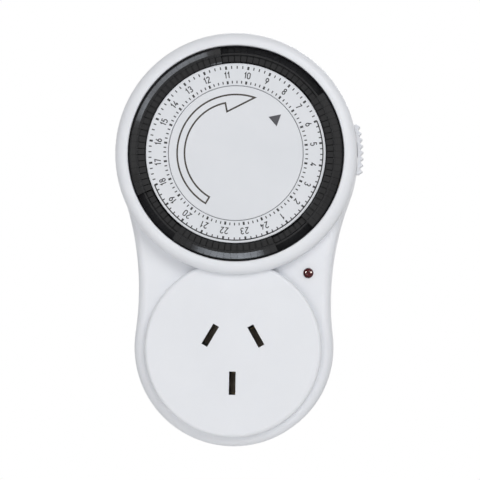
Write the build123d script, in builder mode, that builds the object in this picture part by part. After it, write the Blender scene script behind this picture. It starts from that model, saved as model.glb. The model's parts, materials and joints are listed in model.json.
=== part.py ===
from build123d import *

import math
import os

# Plug in timer switch: a mains socket that a 24 hour dial switches.
# Millimetres. The origin is on the wall plane, at the centre of the pin pattern.
# X points right and Z up as seen from the front, and the front faces -Y.
# A height is a distance in front of the wall plane, along -Y.

# ---------------------------------------------------------------- housing sizes
head_radius = 36.35
lobe_radius = 29.95
lobe_rise = 0.6
waist_radius = 88.0
pad_radius = 26.6
pad_lap = 4.35  # how far the socket's pad runs under the head
dial_rise = head_radius + pad_radius - pad_lap  # from the socket's centre up to the dial's axis
wall = 2.0
floor = 2.2  # the wall that lies against the power point
saddle_height = 29.0
front_depth = 14.0  # from the parting line to the saddle
parting_height = saddle_height - front_depth
pad_rise = 4.0
pad_height = saddle_height + pad_rise
head_rise = 4.0
head_height = pad_height + head_rise
pad_round = 1.1
head_round = 3.0
saddle_round = 2.6
rear_round = 1.6
rim_width = 3.9
rim_bevel = 0.25
bore_radius = head_radius - rim_width
bore_height = parting_height + 9.0  # the bore's lower end
seam = 0.3  # shadow groove at the parting line
overlap = 1.0  # how far one joined form runs into the next

# ---------------------------------------------------------------- pins and socket
pin_width = 6.35
pin_thickness = 1.63
live_pin_length = 17.06
earth_pin_length = 20.0
live_pin_offset = 7.92  # pattern centre to the active and neutral pins
earth_pin_offset = 10.31
live_pin_tilt = 30.0
sleeve_length = 8.5
sleeve_skin = 0.3
pin_fit = 0.05
collar_width = 8.6
collar_thickness = 3.6
collar_depth = 1.8
active_drop = 2.0  # the active pin stops short of the contact carrier
slot_length = 7.0
slot_width = 2.0

# ---------------------------------------------------------------- dial and tappets
tappet_count = 96
tappet_pitch = 360 / tappet_count
tappet_travel = 2.2
tappet_thickness = 1.35
tappet_bevel = 0.4
tappet_gap = 0.1  # between a tappet and the walls of its slot
stem_gap = 0.15  # between its stem and the ends of the slot
head_gap = 0.06  # between the heads of two neighbours, at the outer edge
arm_gap = 0.2  # between their arms over the ring's edge
dial_height = head_height
ring_outer = bore_radius - 5.5
ring_thickness = 2.0
ring_lip = 0.15
disc_radius = ring_outer - 6.8
disc_gap = 0.15  # fixed disc to the turning ring
tappet_inner = ring_outer + 0.25
tappet_outer = bore_radius - 0.35
ridge_radius = tappet_outer - 2.5
ridge_width = 0.5
ridge_height = dial_height + 1.3
step_height = dial_height + 0.4
slope_foot = dial_height - 0.5
comb_outer = bore_radius - 1.3
comb_inner = ring_outer + 0.45
comb_floor = comb_outer - 1.85  # radius of the slots' inner ends
comb_height = 5.0
comb_bottom = dial_height - 9.8
hoop_thickness = 0.85
hoop_fit = 0.05
barb_drop = 0.3
barb_height = 0.6
barb_reach = 0.6
foot_drop = 0.4

# ---------------------------------------------------------------- gears
plate_height = parting_height
plate_thickness = 2.0
plate_top = plate_height + plate_thickness
dial_teeth = 96
idler_pinion_teeth = 12
dial_gear_inset = 2.95  # from the ring's edge in to the dial gear's pitch circle
dial_module = 2 * (ring_outer - dial_gear_inset) / dial_teeth
idler_wheel_teeth = 60
motor_teeth = 10
motor_module = 0.4
wheel_flank_points = 2
pinion_flank_points = 4
addendum = 0.8  # of the module
root_clearance = 0.25
pressure_angle = 25.0
backlash = 0.12
gear_height = plate_top + 3.5
gear_width = 3.0
idler_direction = -105.0
motor_direction = 60.0
wheel_height = plate_top + 0.4
wheel_width = 1.5
idler_top = gear_height + gear_width
arbor_head_radius = 1.4
arbor_head = 0.6
end_play = 0.1
running_fit = 0.05
arbor_radius = 0.75
wheel_hole_count = 5
wheel_hole_circle = 7.4
wheel_hole_radius = 2.0
pinion_width = 2.0
running_gap = 0.2
shaft_reach = 2.5  # how far the output shaft reaches into the motor
shaft_stub = 0.4
output_wheel_width = 1.0

# ---------------------------------------------------------------- mechanism
plate_radius = head_radius - wall - 0.75
spindle_radius = 3.0
shoulder_radius = 5.0
foot_radius = 2.5  # the spindle's end in the plate
tenon_radius = 2.0
tenon_length = 1.0
shoulder_height = plate_top + 2.8
disc_thickness = 1.6
disc_hub = 4.0
hub_radius = 5.6
hub_bottom = shoulder_height + running_gap
drum_radius = ring_outer - 5.45
deck_thickness = 1.8
motor_radius = 17.0
motor_bottom = floor + 1.2
motor_skin = 0.6
motor_cover_thickness = 1.0
motor_ear_reach = motor_radius + 3.5
motor_ear_width = 6.0
motor_round = 1.5
bearing_radius = 2.4
bearing_height = plate_top - 0.4
output_wheel_radius = 3.6
motor_shaft_offset = motor_radius - motor_skin - output_wheel_radius - 0.8
coil_inner = 5.0
coil_outer = motor_radius - motor_skin - 0.2
coil_play = 1.5  # from the coil's top to the output wheel
bobbin_flange = 0.8
winding_outer = coil_outer - 1.2

# ---------------------------------------------------------------- switch
lever_nose_angle = 41.25
lever_nose_radius = (comb_floor + comb_outer) / 2
lever_length = bore_radius - 10.45
lever_heading = 105.0  # the lever points up and slightly left
lever_width = 3.0
lever_bottom = plate_top + 2.8
lever_thickness = 2.5
nose_radius = 0.9
nose_clearance = 0.2
pivot_height = lever_bottom + 1.1
pivot_radius = 0.6
ear_thickness = 1.0
ear_gap = 0.5
ear_half_length = 1.4
ear_over_pivot = 1.1
pusher_place = lever_length - 12.0
pusher_half_length = 1.0
blade_height = plate_top + 1.6
blade_thickness = 0.3
blade_width = 2.4
blade_root = -5.0
blade_end = 1.5  # how far the blade runs past its rivets
blade_seat = 0.15  # how far the rivet block stops short of the blade
blade_hole_play = 0.3
contact_place = lever_length - 6.0
contact_gap = 0.1
rivet_radius = 1.1
rivet_height = 0.4
rivet_head = 0.4
rivet_head_reach = 0.5
root_rivet_radius = 0.6
strap = 0.6
strap_width = 3.0
tab_bottom = plate_height - 5.0
fixed_tab = contact_place + 2.5
root_tab = -7.6
tab_play = 0.2
lever_end = 1.8

# ---------------------------------------------------------------- override knob
knob_centre = 3.9  # degrees above the dial's axis
knob_span = 23.4
knob_travel = 7.9
knob_gap = 0.15
knob_thickness = 0.85
knob_tooth_count = 8
knob_tooth_height = 0.9
knob_width = 8.4
neck_span = 7.0
neck_height = plate_top + 3.0
neck_width = 4.2
window_gap = 0.2
window_play = 0.3  # degrees at each end of the knob's travel
slider_thickness = 1.0
slider_span = 19.8
slider_outer = head_radius - wall - knob_gap
slider_inner = slider_outer - slider_thickness
finger_angle = 14.5
finger_width = 2.4
finger_reach = slider_inner - 3.7
finger_bottom = lever_bottom + lever_thickness + 0.3
finger_top = finger_bottom + 0.6
finger_lap = 3.0  # degrees of slider beyond the finger
tab_place = 4.0
tab_reach = 4.2
tab_half_length = 1.0
tab_thickness = 1.0

# ---------------------------------------------------------------- screws
boss_radius = 2.6
boss_top = parting_height + 7.5  # under the feet of the pushed tappets
boss_play = 0.4
pilot_radius = 1.1
screw_radius = 1.05
screw_play = 0.25
screw_head_radius = 2.4
screw_head_height = 1.7
housing_column_radius = 3.8
counterbore_depth = parting_height - 6.0
housing_screw_length = 12.0
mechanism_screw_length = 6.5
motor_screw_radius = 0.75
motor_screw_length = 2.6
motor_screw_head = 1.1
carrier_screw_length = 7.0
tip_room = 0.5  # depth of a pilot hole past its screw
boss_circle = head_radius - 4.15
top_boss_circle = head_radius - 4.95
side_boss_circle = head_radius - 3.35
housing_boss_angle = 30.0  # either side of the head's top
side_boss_angle = 35.0  # below the dial's axis, either side
lower_screw_x = 19.5
lower_screw_z = -14.5

# ---------------------------------------------------------------- contacts and lamp
carrier_radius = 19.5
carrier_thickness = 2.0
carrier_top = parting_height - 1.0
carrier_height = carrier_top - carrier_thickness
carrier_post_x = 15.0
carrier_post_z = -3.0
carrier_post_radius = 2.4
contact_sheet = 0.5
contact_top = pad_height - wall - 0.4
contact_width = 6.0
contact_spread = 3.2
contact_neck = 0.8
contact_mouth = 1.7
contact_pinch = contact_top - 3.6
contact_bend = 5.0  # how far up the leaves start to close
contact_fit = 0.15
frame_wall = 0.8
frame_height = 4.0
lead_radius = 0.3
lead_length = 2.0
lead_offset = 1.0
lamp_x = 22.2
lamp_z = 23.2
lens_radius = 1.55
lens_height = 1.3
lens_fit = 0.1
lamp_radius = 2.0
lamp_fit = 0.2
lamp_length = 7.0
lamp_bottom = saddle_height - 11.5
lamp_tube = 3.2
lamp_tube_rise = 1.5
resistor_radius = 1.1
resistor_length = 5.5

# ---------------------------------------------------------------- wires
wire_radius = 0.6
wire_stub = 1.6  # straight length at each end
wire_bend = 1.2
pin_wire_height = 8.4
floor_run = floor + 1.8  # wires along the rear wall
plate_run = plate_height - 6.4  # wires under the plate
low_wire_height = plate_height - 3.9  # first wire on a terminal's tab
high_wire_height = plate_height - 1.9  # second wire on the same tab
leaf_wire_height = carrier_top + frame_height + wire_radius + 0.2
socket_run = carrier_top + 6.2  # wire over the contact carrier
motor_wire_height = motor_bottom + 4.6
motor_supply_angle = -25.0  # where the motor's wires leave its case
motor_neutral_angle = -112.0


# ---------------------------------------------------------------- planes and outlines
def front(height):
    """Plane parallel to the wall at a height; its x is X and its y is Z."""
    return Plane.XZ.offset(height)


def section(x, z, turn=0.0):
    """Plane through the axis at (x, z): its x is a radius and its y a height."""
    angle = math.radians(turn)
    across = (math.cos(angle), 0, math.sin(angle))
    normal = (math.sin(angle), 0, -math.cos(angle))
    return Plane(origin=(x, 0, z), x_dir=across, z_dir=normal)


def axis_at(x, z):
    """Axis square to the wall, pointing to the front."""
    return Axis((x, 0, z), (0, -1, 0))


def polar(radius, angle, x=0.0, z=0.0):
    """Point at a radius and an angle from (x, z)."""
    turn = math.radians(angle)
    return (x + radius * math.cos(turn), z + radius * math.sin(turn))


def draw_outline(inset=0.0, mode=Mode.ADD):
    """Head and socket lobe, joined on each side by a hollow arc tangent to both."""
    head = head_radius - inset
    lobe = lobe_radius - inset
    waist = waist_radius + inset
    rise = dial_rise - lobe_rise
    along = ((lobe + waist) ** 2 - (head + waist) ** 2 + rise**2) / (2 * rise)
    across = math.sqrt((lobe + waist) ** 2 - along**2)
    centre = Vector(across, lobe_rise + along)
    head_centre = Vector(0, dial_rise)
    lobe_centre = Vector(0, lobe_rise)
    upper = head_centre + (centre - head_centre).normalized() * head
    lower = lobe_centre + (centre - lobe_centre).normalized() * lobe
    middle = centre - Vector(waist, 0)
    with BuildLine() as line:
        ThreePointArc(upper, (0, dial_rise + head), (-upper.X, upper.Y))
        ThreePointArc((-upper.X, upper.Y), (-middle.X, middle.Y), (-lower.X, lower.Y))
        ThreePointArc((-lower.X, lower.Y), (0, lobe_rise - lobe), lower)
        ThreePointArc(lower, middle, upper)
    make_face(line.edges(), mode=mode)


def draw_sector(inner, outer, start, end):
    """Piece of a ring about the dial's axis, between two angles."""
    with BuildLine() as line:
        outside = CenterArc((0, dial_rise), outer, start, end - start)
        inside = CenterArc((0, dial_rise), inner, start, end - start)
        Line(outside @ 0, inside @ 0)
        Line(outside @ 1, inside @ 1)
    make_face(line.edges())


def draw_polygon(*points):
    with BuildLine() as line:
        Polyline(*points, close=True)
    make_face(line.edges())


def draw_circle(radius, x, z, mode=Mode.ADD):
    with Locations((x, z)):
        Circle(radius, mode=mode)


def involute(angle):
    return math.tan(angle) - angle


def gear_root(module, teeth):
    return module * teeth / 2 - (addendum + root_clearance) * module


def gear_tip(module, teeth):
    return module * teeth / 2 + addendum * module


def draw_gear(module, teeth, x, z, phase, flank_points):
    """Spur gear with short involute teeth; phase is the angle of a tooth's centre."""
    pitch = module * teeth / 2
    tip = gear_tip(module, teeth)
    root = gear_root(module, teeth)
    pressure = math.radians(pressure_angle)
    base = pitch * math.cos(pressure)
    half = math.pi / (2 * teeth) - backlash / (4 * pitch) + involute(pressure)
    flank = []
    for step in range(flank_points):
        radius = root + (tip - root) * step / (flank_points - 1)
        slope = math.acos(min(1.0, base / radius))
        flank.append((radius, half - involute(slope)))
    corners = []
    for tooth in range(teeth):
        centre = math.radians(phase + 360 / teeth * tooth)
        for radius, width in flank:
            corners.append(polar(radius, math.degrees(centre - width), x, z))
        for radius, width in reversed(flank):
            corners.append(polar(radius, math.degrees(centre + width), x, z))
    draw_polygon(*corners)


def meshed_phase(phase, teeth, other_teeth, direction):
    """Tooth angle of a gear that lies in a direction from the first gear and meshes with it."""
    return direction + 180 + (direction - phase) * teeth / other_teeth + 180 / other_teeth


def hour_angle(hour):
    """Place of an hour on the ring; the hours run anticlockwise and 7 stands at 37.5 degrees."""
    return 37.5 + 15 * (hour - 7)


def save(builder, name):
    builder.part.label = name
    export_step(builder.part, f"parts/{name}.step")


# ---------------------------------------------------------------- shared places
dial_plane = Plane(origin=(0, 0, dial_rise), x_dir=(1, 0, 0), z_dir=(0, -1, 0))
live_x = live_pin_offset * math.sin(math.radians(2 * live_pin_tilt))
live_z = live_pin_offset * math.cos(math.radians(2 * live_pin_tilt))
# name: (x, z, turn of the blade from upright)
pin_places = {
    "active": (-live_x, live_z, -live_pin_tilt),
    "neutral": (live_x, live_z, live_pin_tilt),
    "earth": (0.0, -earth_pin_offset, 0.0),
}

upper_screws_at = [
    polar(boss_circle, 90 + side * housing_boss_angle, 0, dial_rise) for side in (-1, 1)
]
lower_screws_at = [(-lower_screw_x, lower_screw_z), (lower_screw_x, lower_screw_z)]
side_bosses_at = [
    polar(side_boss_circle, 270 + side * (90 - side_boss_angle), 0, dial_rise) for side in (-1, 1)
]
mechanism_screws_at = [polar(top_boss_circle, 90, 0, dial_rise)] + side_bosses_at

idler_distance = dial_module * (dial_teeth + idler_pinion_teeth) / 2
idler_x, idler_z = polar(idler_distance, idler_direction, 0, dial_rise)
motor_distance = motor_module * (idler_wheel_teeth + motor_teeth) / 2
shaft_x, shaft_z = polar(motor_distance, motor_direction, idler_x, idler_z)
motor_x = shaft_x
motor_z = shaft_z + motor_shaft_offset
motor_screws_at = [(motor_x - motor_ear_reach, motor_z), (motor_x + motor_ear_reach, motor_z)]
carrier_screws_at = [(-carrier_post_x, carrier_post_z), (carrier_post_x, carrier_post_z)]

nose_x, nose_z = polar(lever_nose_radius, lever_nose_angle, 0, dial_rise)
pivot_x, pivot_z = polar(-lever_length, lever_heading, nose_x, nose_z)
lever_way = math.radians(lever_heading)

pivot_section = Plane(
    origin=(pivot_x, -pivot_height, pivot_z),
    x_dir=(math.cos(lever_way), 0, math.sin(lever_way)),
    z_dir=(math.sin(lever_way), 0, -math.cos(lever_way)),
)

knob_inner = head_radius + knob_gap
knob_outer = knob_inner + knob_thickness
neck_from = knob_centre - neck_span / 2
neck_to = knob_centre + neck_span / 2
window_angles = (neck_from - knob_travel - window_play, neck_to + window_play)


def switch_plane(height):
    """Plane parallel to the wall; its x runs from the lever's pivot to its nose."""
    along = (math.cos(lever_way), 0, math.sin(lever_way))
    return Plane(origin=(pivot_x, -height, pivot_z), x_dir=along, z_dir=(0, -1, 0))


def pin_plane(name, height):
    """Plane parallel to the wall on a pin's centre, its y along the pin's width."""
    x, z, turn = pin_places[name]
    angle = math.radians(turn)
    return Plane(origin=(x, -height, z), x_dir=(math.cos(angle), 0, math.sin(angle)), z_dir=(0, -1, 0))


def block(plane, x_from, x_to, y_from, y_to, height, mode=Mode.ADD):
    """Block that stands on a plane, in the open part."""
    with BuildSketch(plane) as base:
        with Locations(((x_from + x_to) / 2, (y_from + y_to) / 2)):
            Rectangle(x_to - x_from, y_to - y_from)
    extrude(base.sketch, amount=height, mode=mode)


def post(radius, bottom, top, x, z, mode=Mode.ADD):
    """Round post square to the wall, in the open part."""
    with BuildSketch(front(bottom)) as base:
        draw_circle(radius, x, z)
    extrude(base.sketch, amount=top - bottom, mode=mode)


def turned(x, z, *points):
    """Turned form about the axis at (x, z), from points of radius and height."""
    with BuildSketch(section(x, z)) as profile:
        draw_polygon(*points)
    revolve(profile.sketch, axis=axis_at(x, z))


os.makedirs("parts", exist_ok=True)

# ---------------------------------------------------------------- rear housing
with BuildPart() as rear_housing:
    with BuildSketch(front(0)):
        draw_outline()
    extrude(amount=parting_height)
    fillet(rear_housing.faces().sort_by(Axis.Y)[-1].edges(), rear_round)
    with BuildSketch(front(floor)):
        draw_outline(wall)
    extrude(amount=parting_height - floor, mode=Mode.SUBTRACT)
    with BuildSketch(front(parting_height - seam)):
        draw_outline()
        draw_outline(seam, mode=Mode.SUBTRACT)
    extrude(amount=seam, mode=Mode.SUBTRACT)
    for x, z in upper_screws_at + lower_screws_at:
        post(housing_column_radius, floor / 2, parting_height, x, z)
    for x, z in carrier_screws_at:
        post(carrier_post_radius, floor / 2, carrier_height, x, z)
        with Locations(Plane((x, -carrier_height, z), z_dir=(0, -1, 0))):
            Hole(motor_screw_radius + running_fit, depth=carrier_height - floor)
    for x, z in upper_screws_at + lower_screws_at:
        with Locations(Plane((x, 0, z), z_dir=(0, 1, 0))):
            CounterBoreHole(
                screw_radius + screw_play, screw_head_radius + screw_play, counterbore_depth
            )
    for name in pin_places:
        half_thickness = pin_thickness / 2 + pin_fit
        half_width = pin_width / 2 + pin_fit
        plane = pin_plane(name, 0)
        block(plane, -half_thickness, half_thickness, -half_width, half_width, floor, Mode.SUBTRACT)
save(rear_housing, "rear_housing")

# ---------------------------------------------------------------- front housing
with BuildPart() as front_housing:
    with BuildSketch(front(parting_height)):
        draw_outline()
    extrude(amount=saddle_height - parting_height)
    fillet(front_housing.faces().sort_by(Axis.Y)[0].edges(), saddle_round)
    with BuildSketch(front(parting_height)):
        draw_circle(head_radius, 0, dial_rise)
    extrude(amount=head_height - parting_height)
    fillet(front_housing.faces().sort_by(Axis.Y)[0].edges(), head_round)
    with BuildSketch(front(saddle_height - overlap)):
        draw_circle(pad_radius, 0, 0)
    extrude(amount=pad_height - saddle_height + overlap)
    pad_face = front_housing.faces().filter_by(Plane.XZ).filter_by_position(
        Axis.Y, -pad_height - 0.01, -pad_height + 0.01
    )[0]
    pad_edges = pad_face.edges().filter_by(lambda edge: abs(edge.radius - pad_radius) < 0.01)
    fillet(pad_edges, pad_round)
    # hollow behind the saddle, the pad and the dial
    with BuildSketch(front(parting_height)):
        draw_outline(wall)
    extrude(amount=bore_height - parting_height, mode=Mode.SUBTRACT)
    with BuildSketch(front(bore_height)):
        draw_outline(wall)
        draw_circle(head_radius, 0, dial_rise, mode=Mode.SUBTRACT)
    extrude(amount=saddle_height - wall - bore_height, mode=Mode.SUBTRACT)
    with BuildSketch(front(saddle_height - wall)):
        draw_circle(pad_radius - wall, 0, 0)
        draw_circle(head_radius, 0, dial_rise, mode=Mode.SUBTRACT)
    extrude(amount=pad_height - saddle_height, mode=Mode.SUBTRACT)
    # screw bosses
    for x, z in upper_screws_at:
        post(boss_radius, parting_height, boss_top, x, z)
    for x, z in lower_screws_at:
        post(boss_radius, parting_height, saddle_height - wall / 2, x, z)
    for x, z in mechanism_screws_at:
        post(boss_radius, plate_top, bore_height + overlap, x, z)
    post(lamp_tube, lamp_bottom + lamp_tube_rise, saddle_height - wall / 2, lamp_x, lamp_z)
    post(lamp_radius + lamp_fit, lamp_bottom, saddle_height - wall, lamp_x, lamp_z, Mode.SUBTRACT)
    post(lens_radius, lamp_bottom, saddle_height, lamp_x, lamp_z, Mode.SUBTRACT)
    # bore for the dial
    with BuildSketch(front(boss_top)):
        draw_circle(bore_radius, 0, dial_rise)
    extrude(amount=head_height - boss_top, mode=Mode.SUBTRACT)
    for x, z in upper_screws_at + lower_screws_at:
        with Locations(Plane((x, -parting_height, z), z_dir=(0, 1, 0))):
            Hole(pilot_radius, depth=counterbore_depth + housing_screw_length - parting_height + tip_room)
    for x, z in mechanism_screws_at:
        with Locations(Plane((x, -plate_top, z), z_dir=(0, 1, 0))):
            Hole(pilot_radius, depth=mechanism_screw_length - plate_thickness + tip_room)
    for name in pin_places:
        plane = pin_plane(name, pad_height - wall)
        half_slot = slot_width / 2
        block(plane, -half_slot, half_slot, -slot_length / 2, slot_length / 2, wall, Mode.SUBTRACT)
    # window for the override knob's neck
    with BuildSketch(front(neck_height - neck_width / 2 - window_gap)):
        draw_sector(slider_inner, knob_outer, *window_angles)
    extrude(amount=neck_width + 2 * window_gap, mode=Mode.SUBTRACT)
    rim = front_housing.edges().filter_by_position(Axis.Y, -head_height - 0.01, -head_height + 0.01)
    chamfer(rim.sort_by(SortBy.LENGTH)[0], rim_bevel)
save(front_housing, "front_housing")

# ---------------------------------------------------------------- mechanism plate
ear_inner = lever_width / 2 + ear_gap
lever_top = lever_bottom + lever_thickness
with BuildPart() as mechanism_plate:
    with BuildSketch(front(plate_height)):
        draw_circle(plate_radius, 0, dial_rise)
        for x, z in side_bosses_at:
            draw_circle(boss_radius, x, z)
        for x, z in upper_screws_at:
            draw_circle(boss_radius + boss_play, x, z, Mode.SUBTRACT)
        for x, z in mechanism_screws_at:
            draw_circle(screw_radius + screw_play, x, z, Mode.SUBTRACT)
        for x, z in motor_screws_at:
            draw_circle(motor_screw_radius + running_fit, x, z, Mode.SUBTRACT)
        draw_circle(foot_radius, 0, dial_rise, Mode.SUBTRACT)
        draw_circle(arbor_radius, idler_x, idler_z, Mode.SUBTRACT)
        draw_circle(bearing_radius + running_gap, shaft_x, shaft_z, Mode.SUBTRACT)
    extrude(amount=plate_thickness)
    # ears for the lever's pivot
    ear_height = pivot_height + ear_over_pivot - plate_top
    for side in (-1, 1):
        near, far = sorted((side * ear_inner, side * (ear_inner + ear_thickness)))
        block(switch_plane(plate_top), -ear_half_length, ear_half_length, near, far, ear_height)
    # slots for the two contact straps' tabs
    for place in (fixed_tab, root_tab):
        block(
            switch_plane(plate_height),
            place - tab_play,
            place + strap + tab_play,
            -strap_width / 2 - tab_play,
            strap_width / 2 + tab_play,
            plate_thickness,
            Mode.SUBTRACT,
        )
    with BuildSketch(pivot_section):
        Circle(pivot_radius)
    extrude(amount=ear_inner + 2 * ear_thickness, both=True, mode=Mode.SUBTRACT)
save(mechanism_plate, "mechanism_plate")

with BuildPart() as mechanism_screws:
    for x, z in mechanism_screws_at:
        post(screw_radius, plate_height, plate_height + mechanism_screw_length, x, z)
        post(screw_head_radius, plate_height - screw_head_height, plate_height, x, z)
save(mechanism_screws, "mechanism_screws")

with BuildPart() as housing_screws:
    for x, z in upper_screws_at + lower_screws_at:
        post(screw_radius, counterbore_depth, counterbore_depth + housing_screw_length, x, z)
        post(screw_head_radius, counterbore_depth - screw_head_height, counterbore_depth, x, z)
save(housing_screws, "housing_screws")

# ---------------------------------------------------------------- spindle, fixed disc and dial
disc_bottom = dial_height - disc_thickness
deck_top = dial_height - ring_thickness
tenon_base = disc_bottom - running_gap
with BuildPart() as dial_spindle:
    turned(
        0,
        dial_rise,
        (0, plate_height),
        (foot_radius, plate_height),
        (foot_radius, plate_top),
        (shoulder_radius, plate_top),
        (shoulder_radius, shoulder_height),
        (spindle_radius, shoulder_height),
        (spindle_radius, tenon_base),
        (tenon_radius, tenon_base),
        (tenon_radius, tenon_base + tenon_length),
        (0, tenon_base + tenon_length),
    )
save(dial_spindle, "dial_spindle")

with BuildPart() as centre_disc:
    turned(
        0,
        dial_rise,
        (0, dial_height),
        (disc_radius - ring_lip, dial_height),
        (disc_radius, dial_height - ring_lip),
        (disc_radius, disc_bottom),
        (disc_hub, disc_bottom),
        (disc_hub, tenon_base),
        (tenon_radius, tenon_base),
        (tenon_radius, tenon_base + tenon_length),
        (0, tenon_base + tenon_length),
    )
save(centre_disc, "centre_disc")

comb_top = comb_bottom + comb_height
dial_root = gear_root(dial_module, dial_teeth)
wheel_rim = ring_outer - running_fit
with BuildPart() as dial_wheel:
    turned(
        0,
        dial_rise,
        (spindle_radius + running_fit, hub_bottom),
        (hub_radius, hub_bottom),
        (hub_radius, deck_top - deck_thickness),
        (drum_radius, deck_top - deck_thickness),
        (drum_radius, gear_height),
        (dial_root, gear_height),
        (dial_root, comb_top - deck_thickness),
        (comb_inner, comb_top - deck_thickness),
        (comb_inner, comb_bottom),
        (comb_floor, comb_bottom),
        (comb_floor, comb_top),
        (wheel_rim, comb_top),
        (wheel_rim, deck_top),
        (spindle_radius + running_fit, deck_top),
    )
    with BuildSketch(front(comb_bottom)):
        draw_circle(comb_outer, 0, dial_rise)
        draw_circle((comb_inner + comb_floor) / 2, 0, dial_rise, Mode.SUBTRACT)
        with Locations((0, dial_rise)):
            with PolarLocations((comb_floor + comb_outer + 1) / 2, tappet_count):
                slot = tappet_thickness + 2 * tappet_gap
                Rectangle(comb_outer + 1 - comb_floor, slot, mode=Mode.SUBTRACT)
    extrude(amount=comb_height)
    with BuildSketch(front(gear_height)):
        draw_gear(dial_module, dial_teeth, 0, dial_rise, 0, wheel_flank_points)
        draw_circle((drum_radius + dial_root) / 2, 0, dial_rise, Mode.SUBTRACT)
    extrude(amount=gear_width)
save(dial_wheel, "dial_wheel")

hoop_inner = comb_outer + hoop_fit
with BuildPart() as tappet_hoop:
    with BuildSketch(front(comb_bottom)):
        draw_circle(hoop_inner + hoop_thickness, 0, dial_rise)
        draw_circle(hoop_inner, 0, dial_rise, Mode.SUBTRACT)
    extrude(amount=comb_height)
save(tappet_hoop, "tappet_hoop")

ring_inner = disc_radius + disc_gap
with BuildPart() as number_ring:
    turned(
        0,
        dial_rise,
        (ring_inner, deck_top),
        (ring_outer, deck_top),
        (ring_outer, dial_height),
        (ring_outer - ring_lip, dial_height + ring_lip),
        (ring_outer - 2 * ring_lip, dial_height + ring_lip),
        (ring_outer - 3 * ring_lip, dial_height),
        (ring_inner + ring_lip, dial_height),
        (ring_inner, dial_height - ring_lip),
    )
save(number_ring, "number_ring")

# ---------------------------------------------------------------- tappets
stem_inner = comb_floor + stem_gap
stem_outer = comb_outer - stem_gap
head_bottom = comb_top + tappet_travel + 2 * tappet_gap
barb_top = comb_bottom - barb_drop
foot_bottom = barb_top - barb_height - foot_drop
head_angle = tappet_pitch - math.degrees(head_gap / tappet_outer)
arm_angle = tappet_pitch - math.degrees(arm_gap / tappet_inner)


def draw_wedge(angle, *points):
    """Form turned about Z through an angle, even on both sides of the X axis."""
    half = math.radians(angle / 2)
    side = Plane(
        origin=(0, 0, 0),
        x_dir=(math.cos(half), -math.sin(half), 0),
        z_dir=(-math.sin(half), -math.cos(half), 0),
    )
    with BuildSketch(side) as profile:
        draw_polygon(*points)
    revolve(profile.sketch, axis=Axis.Z, revolution_arc=angle)


# one raised tappet, with its radius along X and its height along Z
with BuildPart() as tappet:
    with BuildSketch(Plane.XZ):
        draw_polygon(
            (stem_inner, head_bottom + overlap),
            (stem_outer, head_bottom + overlap),
            (stem_outer, barb_top),
            (stem_outer + barb_reach, barb_top),
            (stem_outer + barb_reach, barb_top - barb_height),
            (stem_outer, foot_bottom),
            (stem_inner, foot_bottom),
        )
    extrude(amount=tappet_thickness / 2, both=True)
    draw_wedge(
        arm_angle,
        (tappet_inner, head_bottom),
        (tappet_inner, step_height - tappet_bevel),
        (tappet_inner + tappet_bevel, step_height),
        (ridge_radius, step_height),
        (ridge_radius, head_bottom),
    )
    draw_wedge(
        head_angle,
        (comb_floor, head_bottom),
        (comb_floor, ridge_height - tappet_bevel),
        (ridge_radius, ridge_height),
        (ridge_radius + ridge_width, ridge_height),
        (tappet_outer, slope_foot),
        (tappet_outer, head_bottom),
    )

# name: (first hour, how many quarter hours, pushed in)
tappet_runs = {
    "tappets_0015_0130": (0.25, 6, True),
    "tappets_0145_0645": (1.75, 21, False),
    "tappets_0700_1100": (7.0, 17, True),
    "tappets_1115_1800": (11.25, 28, False),
    "tappets_1815_2000": (18.25, 8, True),
    "tappets_2015_2400": (20.25, 16, False),
}
for name, (first, count, pushed) in tappet_runs.items():
    with BuildPart(dial_plane) as run:
        with Locations((0, 0, -tappet_travel if pushed else 0)):
            with PolarLocations(0, count, hour_angle(first), tappet_pitch * (count - 1), endpoint=True):
                add(tappet.part)
    save(run, name)

# ---------------------------------------------------------------- gear train
wheel_top = wheel_height + wheel_width
idler_phase = meshed_phase(0, dial_teeth, idler_pinion_teeth, idler_direction)
with BuildPart() as idler_gear:
    with BuildSketch(front(wheel_height)):
        draw_gear(motor_module, idler_wheel_teeth, idler_x, idler_z, 0, wheel_flank_points)
        with Locations((idler_x, idler_z)):
            with PolarLocations(wheel_hole_circle, wheel_hole_count):
                Circle(wheel_hole_radius, mode=Mode.SUBTRACT)
    extrude(amount=wheel_width)
    with BuildSketch(front(wheel_top)):
        draw_gear(dial_module, idler_pinion_teeth, idler_x, idler_z, idler_phase, pinion_flank_points)
    extrude(amount=idler_top - wheel_top)
    post(arbor_radius + running_fit, wheel_height, idler_top, idler_x, idler_z, Mode.SUBTRACT)
save(idler_gear, "idler_gear")

with BuildPart() as idler_arbor:
    head_bottom_at = idler_top + end_play
    post(arbor_radius, plate_height, head_bottom_at, idler_x, idler_z)
    post(arbor_head_radius, head_bottom_at, head_bottom_at + arbor_head, idler_x, idler_z)
save(idler_arbor, "idler_arbor")

motor_top = plate_height - motor_cover_thickness
shaft_bottom = motor_top - shaft_reach
motor_phase = meshed_phase(0, idler_wheel_teeth, motor_teeth, motor_direction)
with BuildPart() as motor_pinion:
    pinion_bottom = wheel_height + end_play
    with BuildSketch(front(pinion_bottom)):
        draw_gear(motor_module, motor_teeth, shaft_x, shaft_z, motor_phase, pinion_flank_points)
    extrude(amount=pinion_width)
    post(arbor_radius, shaft_bottom, pinion_bottom + pinion_width + shaft_stub, shaft_x, shaft_z)
    post(output_wheel_radius, shaft_bottom, shaft_bottom + output_wheel_width, shaft_x, shaft_z)
save(motor_pinion, "motor_pinion")

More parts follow.
